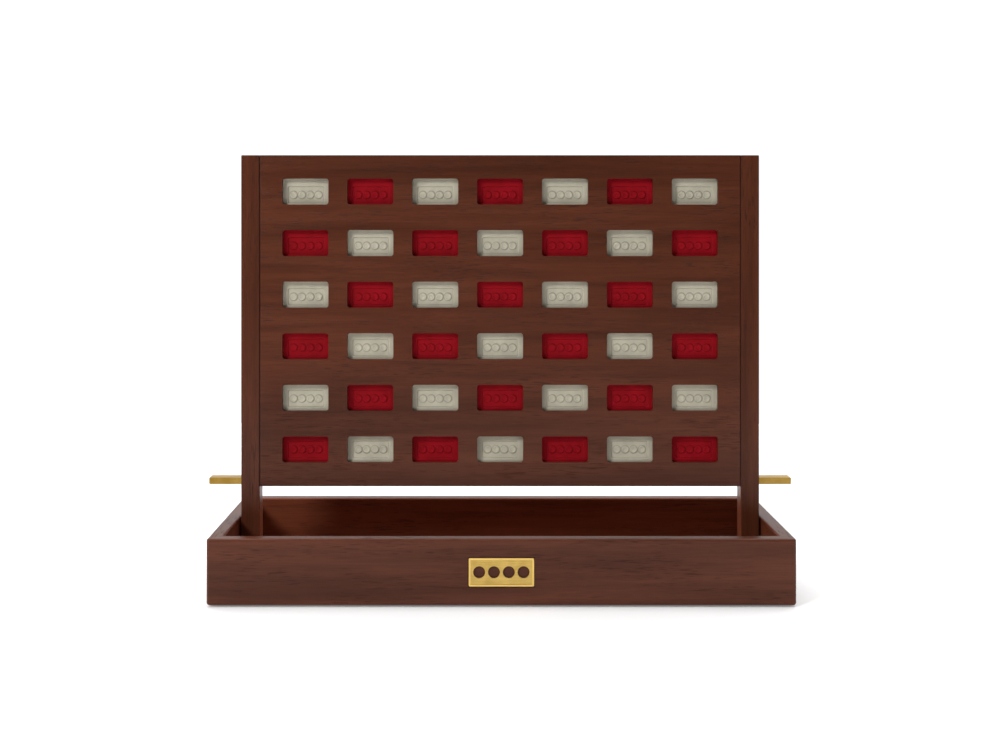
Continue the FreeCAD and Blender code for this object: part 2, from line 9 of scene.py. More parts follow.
import bmesh
import bpy
import numpy as np
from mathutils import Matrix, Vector


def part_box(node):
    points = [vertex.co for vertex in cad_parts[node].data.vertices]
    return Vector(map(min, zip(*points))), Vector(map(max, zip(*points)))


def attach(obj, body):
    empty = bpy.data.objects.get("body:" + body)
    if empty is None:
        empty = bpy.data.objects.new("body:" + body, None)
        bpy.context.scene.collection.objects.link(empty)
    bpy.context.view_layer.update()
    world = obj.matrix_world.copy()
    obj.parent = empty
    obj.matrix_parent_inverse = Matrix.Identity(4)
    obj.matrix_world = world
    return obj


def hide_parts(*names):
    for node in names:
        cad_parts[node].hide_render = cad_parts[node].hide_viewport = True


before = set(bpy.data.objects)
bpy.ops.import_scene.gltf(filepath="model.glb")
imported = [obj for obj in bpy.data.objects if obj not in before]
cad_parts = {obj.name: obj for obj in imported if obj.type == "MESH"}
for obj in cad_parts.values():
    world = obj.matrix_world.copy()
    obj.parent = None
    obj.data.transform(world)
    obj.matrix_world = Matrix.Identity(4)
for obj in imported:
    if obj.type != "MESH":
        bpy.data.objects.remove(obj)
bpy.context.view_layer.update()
LOG = logging.getLogger("four_in_a_row")
Colour = tuple[float, float, float]
Triple = tuple[float, float, float]
Span = tuple[float, float]


class Grain(Enum):
    """The direction that a piece of wood's fibres run in, as the turn that brings that direction to X."""

    ALONG_X = (0.0, 0.0, 0.0)
    ALONG_Y = (0.0, 0.0, -math.pi / 2)
    ALONG_Z = (0.0, math.pi / 2, 0.0)


class Slot(Enum):
    """The names of the material slots."""

    WOOD = "stained_wood"
    DOWEL = "dowel_wood"
    BRASS = "brass"
    STEEL = "steel"
    FELT = "felt"
    CREAM = "cream_tile"
    RED = "red_tile"


class Graph:
    """A node tree, with short ways to add nodes and to join them."""

    def __init__(self, tree: bpy.types.NodeTree) -> None:
        """Keeps the tree that nodes are added to."""
        self.tree = tree

    def add(self, kind: str, inputs: dict | None = None, **settings: object) -> bpy.types.Node:
        """Adds one node.

        Args:
            kind: The node's type, without the word ShaderNode.
            inputs: What goes into each input, by name or number: another node's output, or a plain value.
            settings: The node's own settings.

        Returns:
            The new node.
        """
        node = self.tree.nodes.new("ShaderNode" + kind)
        for name, value in settings.items():
            setattr(node, name, value)
        for key, value in (inputs or {}).items():
            if isinstance(value, bpy.types.NodeSocket):
                self.tree.links.new(value, node.inputs[key])
            else:
                node.inputs[key].default_value = value
        return node

    def stretched(self, vector: bpy.types.NodeSocket, factors: Triple) -> bpy.types.NodeSocket:
        """A vector with each of its three numbers multiplied by a factor of its own."""
        return self.add("VectorMath", {0: vector, 1: factors}, operation="MULTIPLY").outputs[0]

    def noise(
        self, vector: bpy.types.NodeSocket, scale: float, detail: float, rough: float = 0.5
    ) -> bpy.types.NodeSocket:
        """Smooth noise of the given scale, from 0 to 1."""
        values = {"Vector": vector, "Scale": scale, "Detail": detail, "Roughness": rough}
        return self.add("TexNoise", values).outputs[0]

    def between(self, value: bpy.types.NodeSocket, old: Span, new: Span = (0.0, 1.0)) -> bpy.types.NodeSocket:
        """A value carried from one range to another and held inside it."""
        values = {0: value, 1: old[0], 2: old[1], 3: new[0], 4: new[1]}
        return self.add("MapRange", values, interpolation_type="SMOOTHSTEP").outputs[0]

    def sum_of(self, *parts: tuple[bpy.types.NodeSocket, float]) -> bpy.types.NodeSocket:
        """The parts added up, each one times its own weight."""
        total: bpy.types.NodeSocket | float = 0.0
        for socket, weight in parts:
            total = self.add("Math", {0: socket, 1: weight, 2: total}, operation="MULTIPLY_ADD").outputs[0]
        return total

    def mixed(
        self, factor: bpy.types.NodeSocket | float, low: object, high: object, blend: str = "MIX"
    ) -> bpy.types.NodeSocket:
        """Two colours mixed by a factor, each of them a socket or a plain colour with its alpha."""
        node = self.add("Mix", data_type="RGBA", blend_type=blend)
        for index, value in ((0, factor), (6, low), (7, high)):
            if isinstance(value, bpy.types.NodeSocket):
                self.tree.links.new(value, node.inputs[index])
            else:
                node.inputs[index].default_value = value
        return node.outputs[2]


@dataclass
class Effect:
    """A shader node group that several finishes share."""

    name: str
    outputs: tuple[str, ...]
    numbers: tuple[str, ...] = ()

    def build(self) -> bpy.types.NodeTree:
        """Makes the group with a Vector going in and its named values coming out, or finds it if it is there.

        Returns:
            The group's node tree.
        """
        found = bpy.data.node_groups.get(self.name)
        if found:
            return found
        tree = bpy.data.node_groups.new(self.name, "ShaderNodeTree")
        tree.interface.new_socket(name="Vector", in_out="INPUT", socket_type="NodeSocketVector")
        for name in self.numbers:
            tree.interface.new_socket(name=name, in_out="INPUT", socket_type="NodeSocketFloat")
        for name in self.outputs:
            tree.interface.new_socket(name=name, in_out="OUTPUT", socket_type="NodeSocketFloat")
        graph = Graph(tree)
        vector = tree.nodes.new("NodeGroupInput").outputs[0]
        end = tree.nodes.new("NodeGroupOutput")
        for name, socket in self.values(graph, vector).items():
            tree.links.new(socket, end.inputs[name])
        return tree

    def values(self, graph: Graph, vector: bpy.types.NodeSocket) -> dict[str, bpy.types.NodeSocket]:
        """The socket that gives each output. Each effect has its own."""
        raise NotImplementedError


@dataclass
class WoodFigure(Effect):
    """Streaks, fibres and short dark pores of a fine-grained wood whose fibres run along X."""

    name: str = "wood_figure"
    outputs: tuple[str, ...] = ("Figure", "Pores", "Height")
    bend: Triple = (5.0, 9.0, 9.0)
    sway: float = 0.003
    broad: Triple = (3.0, 30.0, 30.0)
    narrow: Triple = (7.0, 190.0, 190.0)
    fibre: Triple = (38.0, 1500.0, 1500.0)
    spots: Triple = (95.0, 1500.0, 1500.0)
    crowd: Triple = (12.0, 80.0, 80.0)
    shares: Triple = (0.48, 0.36, 0.16)

    def values(self, graph: Graph, vector: bpy.types.NodeSocket) -> dict[str, bpy.types.NodeSocket]:
        """Figure is broad and narrow streaks added up, Pores is where fine stretched noise passes a limit,
        and Height is the fibres less the pores."""
        bend = graph.noise(graph.stretched(vector, self.bend), 1.0, 2.0)
        aside = graph.between(bend, (0.3, 0.7), (-self.sway, self.sway))
        shift = graph.add("CombineXYZ", {1: aside}).outputs[0]
        bent = graph.add("VectorMath", {0: vector, 1: shift}, operation="ADD").outputs[0]
        broad = graph.noise(graph.stretched(bent, self.broad), 1.0, 2.0, 0.5)
        narrow = graph.noise(graph.stretched(bent, self.narrow), 1.0, 4.0, 0.6)
        fibre = graph.noise(graph.stretched(bent, self.fibre), 1.0, 2.0, 0.6)
        spots = graph.noise(graph.stretched(bent, self.spots), 1.0, 1.0, 0.4)
        where = graph.noise(graph.stretched(bent, self.crowd), 1.0, 2.0, 0.5)
        dashes = graph.between(spots, (0.56, 0.70))
        crowd = graph.between(where, (0.40, 0.62), (0.10, 1.0))
        pores = graph.add("Math", {0: dashes, 1: crowd}, operation="MULTIPLY").outputs[0]
        figure = graph.sum_of(*zip((broad, narrow, fibre), self.shares))
        return {"Figure": figure, "Pores": pores, "Height": graph.sum_of((fibre, 0.45), (pores, -1.0))}


@dataclass
class JointShade(Effect):
    """Painted shade in the seam round an inset piece, as a rectangle's outline seen from the front."""

    name: str = "joint_shade"
    outputs: tuple[str, ...] = ("Shade",)
    numbers: tuple[str, ...] = ("Half wide", "Half tall", "Middle height", "Behind", "Reach")
    full: float = 0.35

    def values(self, graph: Graph, vector: bpy.types.NodeSocket) -> dict[str, bpy.types.NodeSocket]:
        """Shade is 1 on the outline, out to the full share of the reach, and falls to 0 at the reach. It is 0
        behind a depth. The distance is the larger of |x| less the half width and |z - middle| less the half
        height."""
        ends = vector.node.outputs
        parts = graph.add("SeparateXYZ", {0: vector}).outputs
        raised = graph.add("Math", {0: parts[2], 1: ends["Middle height"]}, operation="SUBTRACT").outputs[0]
        gaps = []
        for part, half in ((parts[0], ends["Half wide"]), (raised, ends["Half tall"])):
            size = graph.add("Math", {0: part}, operation="ABSOLUTE").outputs[0]
            gaps.append(graph.add("Math", {0: size, 1: half}, operation="SUBTRACT").outputs[0])
        outline = graph.add("Math", {0: gaps[0], 1: gaps[1]}, operation="MAXIMUM").outputs[0]
        away = graph.add("Math", {0: outline}, operation="ABSOLUTE").outputs[0]
        share = graph.add("Math", {0: away, 1: ends["Reach"]}, operation="DIVIDE").outputs[0]
        front = graph.add("Math", {0: parts[1], 1: ends["Behind"]}, operation="LESS_THAN").outputs[0]
        line = graph.between(share, (1.0, self.full))
        return {"Shade": graph.add("Math", {0: line, 1: front}, operation="MULTIPLY").outputs[0]}


@dataclass
class InsideWalls(Effect):
    """Where a surface lies inside an upright box round the middle, seen from above."""

    name: str = "inside_walls"
    outputs: tuple[str, ...] = ("Inside",)
    numbers: tuple[str, ...] = ("Half long", "Half deep")
    fade: Span = (0.0012, 0.0002)

    def values(self, graph: Graph, vector: bpy.types.NodeSocket) -> dict[str, bpy.types.NodeSocket]:
        """Inside is 1 where |x| and |y| are under the half sizes, and fades to 0 outwards over the fade."""
        ends = vector.node.outputs
        parts = graph.add("SeparateXYZ", {0: vector}).outputs
        gaps = []
        for part, half in ((parts[0], ends["Half long"]), (parts[1], ends["Half deep"])):
            size = graph.add("Math", {0: part}, operation="ABSOLUTE").outputs[0]
            gaps.append(graph.add("Math", {0: size, 1: half}, operation="SUBTRACT").outputs[0])
        outward = graph.add("Math", {0: gaps[0], 1: gaps[1]}, operation="MAXIMUM").outputs[0]
        return {"Inside": graph.between(outward, self.fade)}


@dataclass
class FineGrit(Effect):
    """Tiny unevenness of a cast, ground or matted surface, with slow blotches under it."""

    name: str = "fine_grit"
    outputs: tuple[str, ...] = ("Grit", "Blotch")
    grit_scale: float = 1500.0
    blotch_scale: float = 95.0

    def values(self, graph: Graph, vector: bpy.types.NodeSocket) -> dict[str, bpy.types.NodeSocket]:
        """Grit is noise under a millimetre across and Blotch is noise a centimetre across."""
        grit = graph.noise(vector, self.grit_scale, 3.0, 0.6)
        return {"Grit": grit, "Blotch": graph.noise(vector, self.blotch_scale, 3.0, 0.55)}


class Finish:
    """The part that all finishes share: a material with one Principled surface."""

    name: str

    def start(self) -> tuple[bpy.types.Material, Graph, bpy.types.Node, bpy.types.NodeSocket]:
        """Makes the material.

        Returns:
            The material, its graph, its Principled node and its Object coordinates.
        """
        material = bpy.data.materials.new(self.name)
        material.use_nodes = True
        graph = Graph(material.node_tree)
        surface = material.node_tree.nodes["Principled BSDF"]
        return material, graph, surface, graph.add("TexCoord").outputs["Object"]

    def effect(
        self, graph: Graph, effect: Effect, vector: bpy.types.NodeSocket, values: tuple[float, ...] = ()
    ) -> bpy.types.Node:
        """Places a shared effect in the material.

        Args:
            graph: The material's graph.
            effect: The effect.
            vector: What goes into its Vector.
            values: Its numbers, in their order.

        Returns:
            The effect's node.
        """
        node = graph.add("Group", node_tree=effect.build())
        graph.tree.links.new(vector, node.inputs["Vector"])
        for name, value in zip(effect.numbers, values):
            node.inputs[name].default_value = value
        return node

    def bump(
        self, graph: Graph, surface: bpy.types.Node, height: bpy.types.NodeSocket, deep: float, strength: float
    ) -> None:
        """Joins a height to the surface's normal, deep in metres."""
        node = graph.add("Bump", {"Height": height, "Distance": deep, "Strength": strength})
        graph.tree.links.new(node.outputs[0], surface.inputs["Normal"])


@dataclass(frozen=True)
class StainedWood(Finish):
    """Satin dark stain on fine-grained wood."""

    name: str
    grain: Grain
    place: Triple = (0.0, 0.0, 0.0)
    dark: Colour = (0.062, 0.0165, 0.0075)
    light: Colour = (0.128, 0.036, 0.0170)
    pore: Colour = (0.024, 0.007, 0.004)
    rough: Span = (0.34, 0.46)
    # joint: the seam round an inset piece, darkened towards the pore colour as painted shade.
    joint: tuple[float, float, float, float] | None = None
    joint_reach: float = 0.0008
    joint_share: float = 0.72
    # inside and thin: the box inside which the colour is painted lighter, and by how much, as painted light.
    inside: Span | None = None
    thin: float = 1.0
    pore_share: float = 0.50
    specular: float = 0.16
    coat: float = 0.03
    coat_rough: float = 0.20
    grain_deep: float = 0.00012

    def build(self) -> bpy.types.Material:
        """Streaks between a dark and a light stain, pores darker and rougher, and a thin coat over all.
        Inside the given box the colour is painted lighter, as painted light, and along the given joint it is
        darkened as painted shade in the seam.

        Returns:
            The material.
        """
        material, graph, surface, coordinates = self.start()
        placed = {"Vector": coordinates, "Location": self.place, "Rotation": self.grain.value}
        turned = graph.add("Mapping", placed)
        wood = self.effect(graph, WoodFigure(), turned.outputs[0])
        figure = graph.between(wood.outputs["Figure"], (0.33, 0.67))
        stain = graph.mixed(figure, (*self.dark, 1.0), (*self.light, 1.0))
        pores = {0: wood.outputs["Pores"], 1: self.pore_share}
        seen = graph.add("Math", pores, operation="MULTIPLY").outputs[0]
        colour = graph.mixed(seen, stain, (*self.pore, 1.0))
        # Painted light: inside the box the colour is multiplied up, lighting faces that the lamps barely reach.
        if self.inside:
            within = self.effect(graph, InsideWalls(), coordinates, self.inside)
            paler = graph.mixed(1.0, colour, (self.thin, self.thin, self.thin, 1.0), "MULTIPLY")
            colour = graph.mixed(within.outputs["Inside"], colour, paler)
        # Painted shade: the joint round an inset piece is darkened towards the pore colour, where shade falls
        # in the seam.
        if self.joint:
            shade = self.effect(graph, JointShade(), coordinates, (*self.joint, self.joint_reach))
            joint_shade_inputs = {0: shade.outputs["Shade"], 1: self.joint_share}
            deep = graph.add("Math", joint_shade_inputs, operation="MULTIPLY").outputs[0]
            colour = graph.mixed(deep, colour, (*self.pore, 1.0))
        graph.tree.links.new(colour, surface.inputs["Base Color"])
        rough = graph.between(wood.outputs["Pores"], (0.0, 1.0), self.rough)
        graph.tree.links.new(rough, surface.inputs["Roughness"])
        surface.inputs["Specular IOR Level"].default_value = self.specular
        surface.inputs["Coat Weight"].default_value = self.coat
        surface.inputs["Coat Roughness"].default_value = self.coat_rough
        self.bump(graph, surface, wood.outputs["Height"], self.grain_deep, 0.55)
        return material


@dataclass(frozen=True)
class Brass(Finish):
    """Satin brass with fine brush lines."""

    name: str
    grain: Grain
    low: Colour = (0.57, 0.365, 0.092)
    high: Colour = (0.83, 0.560, 0.170)
    rough: Span = (0.32, 0.46)
    # front, highlight depths and dull: the forward face gets a painted highlight, and the field behind it is
    # multiplied by dull as painted shade.
    front: float | None = None
    highlight_depths: Span = (0.0002, 0.0001)
    dull: Colour = (0.86, 0.88, 0.86)

    def build(self) -> bpy.types.Material:
        """Brush lines run one way as stretched noise, and slow blotches of handling lie over them.
        Where Y is under the front's depth the colour is painted bright as a painted highlight on the forward
        rim, and behind it the colour is multiplied by the dull colour as painted shade.

        Returns:
            The material.
        """
        material, graph, surface, coordinates = self.start()
        turned = graph.add("Mapping", {"Vector": coordinates, "Rotation": self.grain.value}).outputs[0]
        lines = graph.noise(graph.stretched(turned, (60.0, 5200.0, 5200.0)), 1.0, 3.0, 0.6)
        grit = self.effect(graph, FineGrit(), coordinates)
        tone = graph.sum_of((lines, 0.45), (grit.outputs["Blotch"], 0.55))
        stage = graph.between(tone, (0.36, 0.64))
        colour = graph.mixed(stage, (*self.low, 1.0), (*self.high, 1.0))
        # Painted highlight on the forward rim and painted shade on the sunk field behind it.
        if self.front is not None:
            depth = graph.add("SeparateXYZ", {0: coordinates}).outputs[1]
            rim_highlight = graph.between(depth, (self.front + self.highlight_depths[0], self.front + self.highlight_depths[1]))
            sunk = graph.mixed(1.0, colour, (*self.dull, 1.0), "MULTIPLY")
            colour = graph.mixed(rim_highlight, sunk, (*self.high, 1.0))
        graph.tree.links.new(colour, surface.inputs["Base Color"])
        graph.tree.links.new(graph.between(tone, (0.35, 0.65), self.rough), surface.inputs["Roughness"])
        surface.inputs["Metallic"].default_value = 1.0
        self.bump(graph, surface, lines, 0.00003, 0.4)
        return material


@dataclass(frozen=True)
class MouldedTile(Finish):
    """Cast plastic with a dull skin."""

    name: str
    low: Colour
    high: Colour
    rough: Span = (0.62, 0.78)
    # How much, and how dark, the feet of the relief's steps are painted: partly dirt, partly painted shade.
    grime_and_shade: float = 0.42
    grime_and_shade_tone: float = 0.35
    specular: float = 0.10

    def build(self) -> bpy.types.Material:
        """Slow blotches of colour, darker along the grooves as dirt and painted shade, with fine grit in the
        roughness and the bump.

        Returns:
            The material.
        """
        material, graph, surface, coordinates = self.start()
        grit = self.effect(graph, FineGrit(), coordinates)
        tone = graph.sum_of((grit.outputs["Blotch"], 0.7), (grit.outputs["Grit"], 0.3))
        stage = graph.between(tone, (0.34, 0.66))
        clean = graph.mixed(stage, (*self.low, 1.0), (*self.high, 1.0))
        # The groove marks darken the feet of the relief's steps: partly dirt, partly painted shade.
        groove = graph.add("Attribute", attribute_name="groove").outputs["Fac"]
        dull = graph.add("Math", {0: groove, 1: self.grime_and_shade}, operation="MULTIPLY").outputs[0]
        dark = tuple(self.grime_and_shade_tone * part for part in self.low)
        colour = graph.mixed(dull, clean, (*dark, 1.0))
        graph.tree.links.new(colour, surface.inputs["Base Color"])
        rough = graph.between(grit.outputs["Grit"], (0.3, 0.7), self.rough)
        graph.tree.links.new(rough, surface.inputs["Roughness"])
        surface.inputs["Specular IOR Level"].default_value = self.specular
        self.bump(graph, surface, tone, 0.00025, 0.5)
        return material


@dataclass(frozen=True)
class DowelWood(Finish):
    """Bare pale wood of the dowels."""

    name: str = "bare_dowel_wood"
    dark: Colour = (0.40, 0.26, 0.14)
    light: Colour = (0.62, 0.44, 0.27)

    def build(self) -> bpy.types.Material:
        """The same figure as the stained wood, in pale colours and dull."""
        material, graph, surface, coordinates = self.start()
        wood = self.effect(graph, WoodFigure(), coordinates)
        figure = graph.between(wood.outputs["Figure"], (0.35, 0.65))
        colour = graph.mixed(figure, (*self.dark, 1.0), (*self.light, 1.0))
        graph.tree.links.new(colour, surface.inputs["Base Color"])
        rough = graph.between(wood.outputs["Pores"], (0.0, 1.0), (0.6, 0.8))
        graph.tree.links.new(rough, surface.inputs["Roughness"])
        self.bump(graph, surface, wood.outputs["Height"], 0.0001, 0.5)
        return material


@dataclass(frozen=True)
class TurnedSteel(Finish):
    """Steel of the screws, with the marks of the lathe."""

    name: str = "turned_steel"
    low: Colour = (0.38, 0.38, 0.39)
    high: Colour = (0.58, 0.58, 0.60)

    def build(self) -> bpy.types.Material:
        """Grit in the colour and the roughness of a plain metal."""
        material, graph, surface, coordinates = self.start()
        grit = self.effect(graph, FineGrit(), coordinates)
        stage = graph.between(grit.outputs["Grit"], (0.3, 0.7))
        colour = graph.mixed(stage, (*self.low, 1.0), (*self.high, 1.0))
        graph.tree.links.new(colour, surface.inputs["Base Color"])
        rough = graph.between(grit.outputs["Blotch"], (0.3, 0.7), (0.28, 0.44))
        graph.tree.links.new(rough, surface.inputs["Roughness"])
        surface.inputs["Metallic"].default_value = 1.0
        self.bump(graph, surface, grit.outputs["Grit"], 0.00003, 0.4)
        return material


@dataclass(frozen=True)
class Felt(Finish):
    """Pressed dark felt under the tray."""

    name: str = "pressed_felt"
    low: Colour = (0.012, 0.012, 0.013)
    high: Colour = (0.045, 0.043, 0.042)

    def build(self) -> bpy.types.Material:
        """Matted fibres as grit, in the colour and strongly in the bump, with a soft sheen."""
        material, graph, surface, coordinates = self.start()
        grit = self.effect(graph, FineGrit(), coordinates)
        stage = graph.between(grit.outputs["Grit"], (0.35, 0.65))
        colour = graph.mixed(stage, (*self.low, 1.0), (*self.high, 1.0))
        graph.tree.links.new(colour, surface.inputs["Base Color"])
        rough = graph.between(grit.outputs["Blotch"], (0.3, 0.7), (0.85, 0.98))
        graph.tree.links.new(rough, surface.inputs["Roughness"])
        surface.inputs["Sheen Weight"].default_value = 0.35
        self.bump(graph, surface, grit.outputs["Grit"], 0.0004, 0.9)
        return material


def dress(piece: bpy.types.Object, material: bpy.types.Material) -> None:
    """Gives every material slot of a piece the same material."""
    if not piece.material_slots:
        piece.data.materials.append(material)
    for slot in piece.material_slots:
        slot.material = material


def new_piece(name: str, points: np.ndarray, quads: np.ndarray, smooth: bool = True) -> bpy.types.Object:
    """Puts a surface into the scene.

    Args:
        name: The piece's name.
        points: One row of X, Y and Z for each vertex.
        quads: One row of four vertex numbers for each face.
        smooth: Whether the faces are shaded as one smooth surface.

    Returns:
        The piece, at the origin with its place in its mesh.
    """
    mesh = bpy.data.meshes.new(name)
    mesh.vertices.add(len(points))
    mesh.vertices.foreach_set("co", points.astype(np.float32).ravel())
    mesh.loops.add(quads.size)
    mesh.loops.foreach_set("vertex_index", quads.astype(np.int32).ravel())
    mesh.polygons.add(len(quads))
    mesh.polygons.foreach_set("loop_start", np.arange(0, quads.size, 4, dtype=np.int32))
    mesh.polygons.foreach_set("use_smooth", np.full(len(quads), smooth))
    mesh.update(calc_edges=True)
    mesh.validate()
    piece = bpy.data.objects.new(name, mesh)
    bpy.context.scene.collection.objects.link(piece)
    return piece


def merged_copy(node: str, name: str, ease: float) -> bpy.types.Object:
    """A copy of a piece's solid with its triangles merged into flat faces and its sharp edges eased.

    Args:
        node: The name of the solid.
        name: The new piece's name.
        ease: How far each sharp edge is cut back.

    Returns:
        The new piece, which stands for the solid.
    """
    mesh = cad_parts[node].data.copy()
    shape = bmesh.new()
    shape.from_mesh(mesh)
    bmesh.ops.remove_doubles(shape, verts=shape.verts, dist=2e-6)
    bmesh.ops.dissolve_limit(shape, angle_limit=math.radians(1.0), verts=shape.verts, edges=shape.edges)
    bmesh.ops.recalc_face_normals(shape, faces=shape.faces)
    for face in shape.faces:
        face.smooth = True
    shape.to_mesh(mesh)
    shape.free()
    mesh.name = name
    if mesh.has_custom_normals:
        mesh.attributes.remove(mesh.attributes["custom_normal"])
    piece = bpy.data.objects.new(name, mesh)
    bpy.context.scene.collection.objects.link(piece)
    bevel = piece.modifiers.new("eased_edges", "BEVEL")
    bevel.width = ease
    bevel.segments = 2
    bevel.limit_method = "ANGLE"
    bevel.angle_limit = math.radians(40.0)
    bevel.use_clamp_overlap = True
    bevel.harden_normals = True
    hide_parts(node)
    return piece


def joint_round(node: str, behind: float) -> tuple[float, float, float, float]:
    """Where the joint round a piece runs.

    Args:
        node: The inset piece.
        behind: The depth behind which the joint doesn't show.

    Returns:
        Half its width, half its height, its middle's height and the depth.
    """
    low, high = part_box(node)
    return high.x, (high.z - low.z) / 2.0, (high.z + low.z) / 2.0, behind


def inner_size() -> Span:
    """Half the tray's inner length and half its inner depth."""
    return -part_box("wall_left")[1].x, -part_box("wall_front")[1].y


@dataclass
class Tray:
    """The open tray: four mitred walls on a thin floor, on four felt pads."""

    long_walls: tuple[str, ...] = ("wall_front", "wall_back")
    short_walls: tuple[str, ...] = ("wall_left", "wall_right")
    floor: str = "floor_panel"
    pads: str = "foot_pads"
    inside_painted_light: float = 1.9
    joint_deep: float = 0.0004

    def build(self) -> None:
        """Dresses the walls with the grain along each one, and then the floor and the pads."""
        # Painted light: the inside faces of the walls and the floor are painted lighter than the outside.
        paler = {"inside": inner_size(), "thin": self.inside_painted_light}
        # Painted shade in the gap round the name plate, on the front face of the front wall only.
        outline = joint_round("name_plate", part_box("wall_front")[0].y + self.joint_deep)
        for count, node in enumerate(self.long_walls):
            place = (0.11, 0.31 * count, 0.07)
            finish = StainedWood(f"stain_{node}", Grain.ALONG_X, place, joint=outline, **paler)
            dress(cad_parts[node], finish.build())
            LOG.info("%s dressed", node)
        for count, node in enumerate(self.short_walls):
            finish = StainedWood(f"stain_{node}", Grain.ALONG_Y, (0.23, 0.17 * count, 0.41), **paler)
            dress(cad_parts[node], finish.build())
            LOG.info("%s dressed", node)
        floor = StainedWood("stain_floor", Grain.ALONG_X, (0.6, 0.2, 0.9), **paler)
        dress(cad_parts[self.floor], floor.build())
        dress(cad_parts[self.pads], Felt().build())
        LOG.info("%s and %s dressed", self.floor, self.pads)


@dataclass
class StandingFrame:
    """The two posts, the two windowed panels and what stands between the panels."""

    posts: tuple[str, ...] = ("post_left", "post_right")
    panels: tuple[str, ...] = ("panel_front", "panel_back")
    inner: tuple[str, ...] = ("dividers", "spacer_left", "spacer_right")
    ease: float = 0.00028
    inside_painted_light: float = 2.2
    inner_face: float = 0.0004
    any_depth: float = 1.0

    def build(self) -> None:
        """Eases the panels' edges and dresses all the wood, upright grain on the posts and level on the panels.
        The posts' faces towards the middle are painted paler as painted light, and the seams round the panels
        are darkened as painted shade."""
        # Painted shade in the seams where the panels meet the posts.
        outline = joint_round("panel_front", self.any_depth)
        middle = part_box("post_right")[0].x - self.inner_face, self.any_depth
        for count, node in enumerate(self.panels):
            panel = merged_copy(node, f"eased_{node}", self.ease)
            place = (0.4 * count, 0.3, 0.15 + 0.5 * count)
            finish = StainedWood(f"stain_{node}", Grain.ALONG_X, place, joint=outline)
            dress(panel, finish.build())
            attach(panel, "frame")
            LOG.info("%s built with %d faces", panel.name, len(panel.data.polygons))
        for count, node in enumerate(self.posts):
            paler = {"inside": middle, "thin": self.inside_painted_light}
            place = (0.7, 0.21 * count, 0.33)
            finish = StainedWood(f"stain_{node}", Grain.ALONG_Z, place, joint=outline, **paler)
            dress(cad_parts[node], finish.build())
            LOG.info("%s dressed", node)
        inner_stain = StainedWood("stain_inner", Grain.ALONG_Z, (0.3, 0.5, 0.1)).build()
        for node in self.inner:
            dress(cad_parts[node], inner_stain)
            LOG.info("%s dressed", node)


@dataclass
class Fittings:
    """The brass bar and plate, the dowels and the screws."""

    bar: str = "release_bar"
    plate: str = "name_plate"
    dowels: str = "post_dowels"
    screws: str = "post_screws"
    # The bar's brass is painted darker than the plate's, as painted shade: a shaded copy of the same metal.
    bar_shaded_low: Colour = (0.335, 0.200, 0.038)
    bar_shaded_high: Colour = (0.50, 0.320, 0.078)

    def build(self) -> None:
        """Dresses the metal pieces and the dowels."""
        bar = Brass("brushed_brass_bar", Grain.ALONG_X, self.bar_shaded_low, self.bar_shaded_high)
        dress(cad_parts[self.bar], bar.build())
        # The plate's forward rim gets a painted highlight, and its sunk field painted shade.
        plate = Brass("brushed_brass_plate", Grain.ALONG_X, front=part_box(self.plate)[0].y)
        dress(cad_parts[self.plate], plate.build())
        dress(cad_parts[self.dowels], DowelWood().build())
        dress(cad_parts[self.screws], TurnedSteel().build())
        for node in (self.bar, self.plate, self.dowels, self.screws):
            LOG.info("%s dressed", node)


